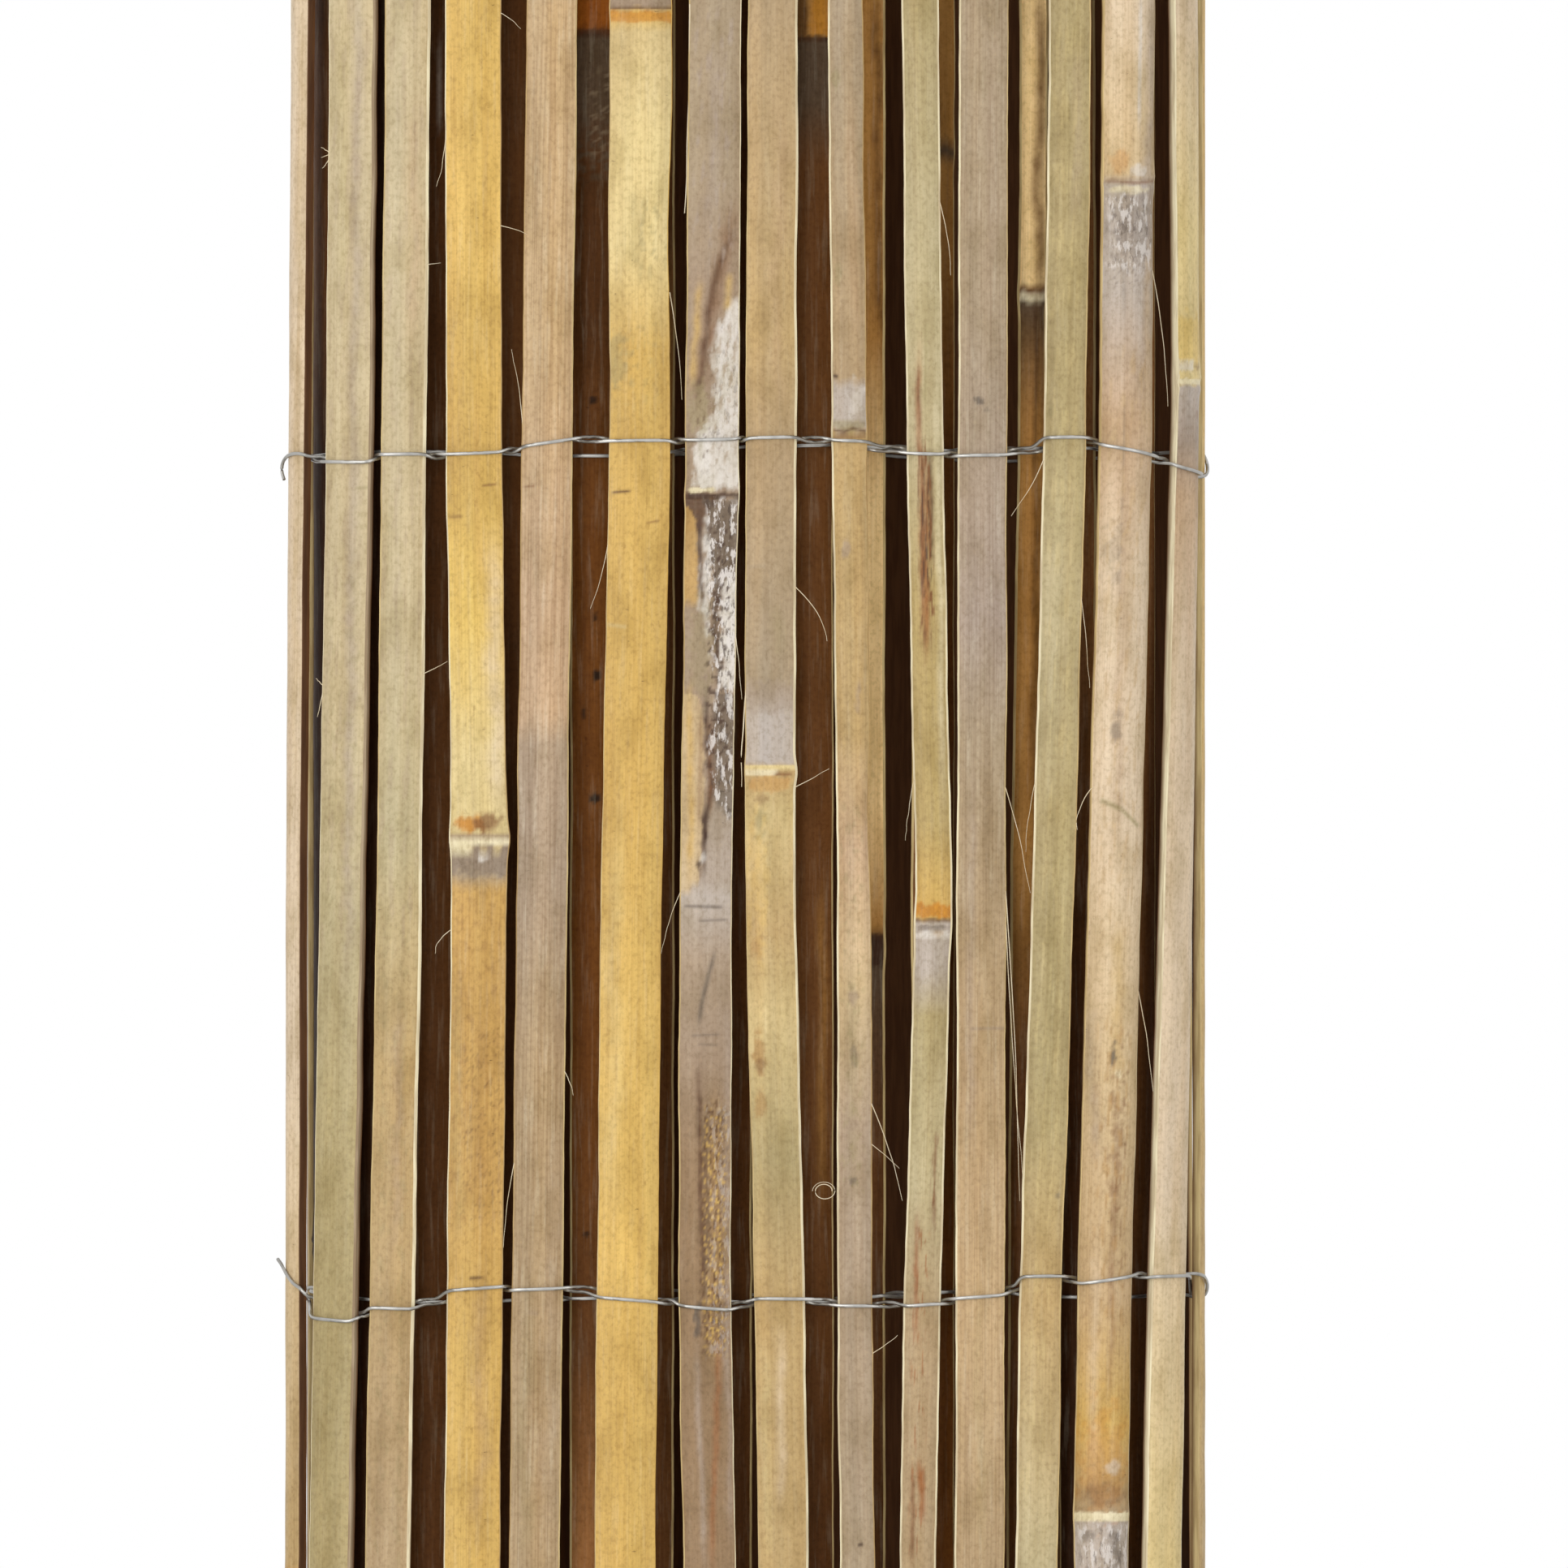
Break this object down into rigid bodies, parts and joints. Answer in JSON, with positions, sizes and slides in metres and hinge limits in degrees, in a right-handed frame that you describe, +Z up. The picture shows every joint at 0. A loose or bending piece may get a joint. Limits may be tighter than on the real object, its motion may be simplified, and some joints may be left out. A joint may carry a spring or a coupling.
{
  "type": "rolled split-bamboo fence panel",
  "caption": "Split-bamboo fence panel of crowned slats tied by rows of twisted galvanised wire, rolled up flat and standing on its end.",
  "frame": {"origin": "under the middle of the roll's outline, at the feet of the slats", "axes": "+Z up along the slats, +X to the right along the front, the front faces -Y"},
  "size_m": [0.1666, 0.046, 1],
  "materials": {
    "split_bamboo": "natural split bamboo, satin skin",
    "shaded_bamboo": "darker split bamboo of the inner layer",
    "galvanised_wire": "bright galvanised wire"
  },
  "bodies": {
    "root": {"back_slat_01": "split_bamboo", "back_slat_02": "split_bamboo", "back_slat_03": "split_bamboo", "back_slat_04": "split_bamboo", "back_slat_05": "split_bamboo", "back_slat_06": "split_bamboo", "back_slat_07": "split_bamboo", "back_slat_08": "split_bamboo", "back_slat_09": "split_bamboo", "front_slat_01": "split_bamboo", "front_slat_02": "split_bamboo", "front_slat_03": "split_bamboo", "front_slat_04": "split_bamboo", "front_slat_05": "split_bamboo", "front_slat_06": "split_bamboo", "front_slat_07": "split_bamboo", "front_slat_08": "split_bamboo", "front_slat_09": "split_bamboo", "front_slat_10": "split_bamboo", "front_slat_11": "split_bamboo", "front_slat_12": "split_bamboo", "front_slat_13": "split_bamboo", "front_slat_14": "split_bamboo", "inner_slat_01": "shaded_bamboo", "inner_slat_02": "shaded_bamboo", "inner_slat_03": "shaded_bamboo", "inner_slat_04": "shaded_bamboo", "inner_slat_05": "shaded_bamboo", "inner_slat_06": "shaded_bamboo", "inner_slat_07": "shaded_bamboo", "inner_slat_08": "shaded_bamboo", "inner_slat_09": "shaded_bamboo", "inner_slat_10": "shaded_bamboo", "inner_slat_11": "shaded_bamboo", "inner_slat_12": "shaded_bamboo", "inner_slat_13": "shaded_bamboo", "inner_slat_14": "shaded_bamboo", "left_slat_01": "split_bamboo", "left_slat_02": "split_bamboo", "left_slat_03": "split_bamboo", "right_slat_01": "split_bamboo", "right_slat_02": "split_bamboo", "right_slat_03": "split_bamboo", "wire_row_1_strand_a": "galvanised_wire", "wire_row_1_strand_b": "galvanised_wire", "wire_row_2_strand_a": "galvanised_wire", "wire_row_2_strand_b": "galvanised_wire", "wire_row_3_strand_a": "galvanised_wire", "wire_row_3_strand_b": "galvanised_wire", "wire_row_4_strand_a": "galvanised_wire", "wire_row_4_strand_b": "galvanised_wire", "wire_row_5_strand_a": "galvanised_wire", "wire_row_5_strand_b": "galvanised_wire", "wire_row_6_strand_a": "galvanised_wire", "wire_row_6_strand_b": "galvanised_wire"}
  },
  "joints": []
}
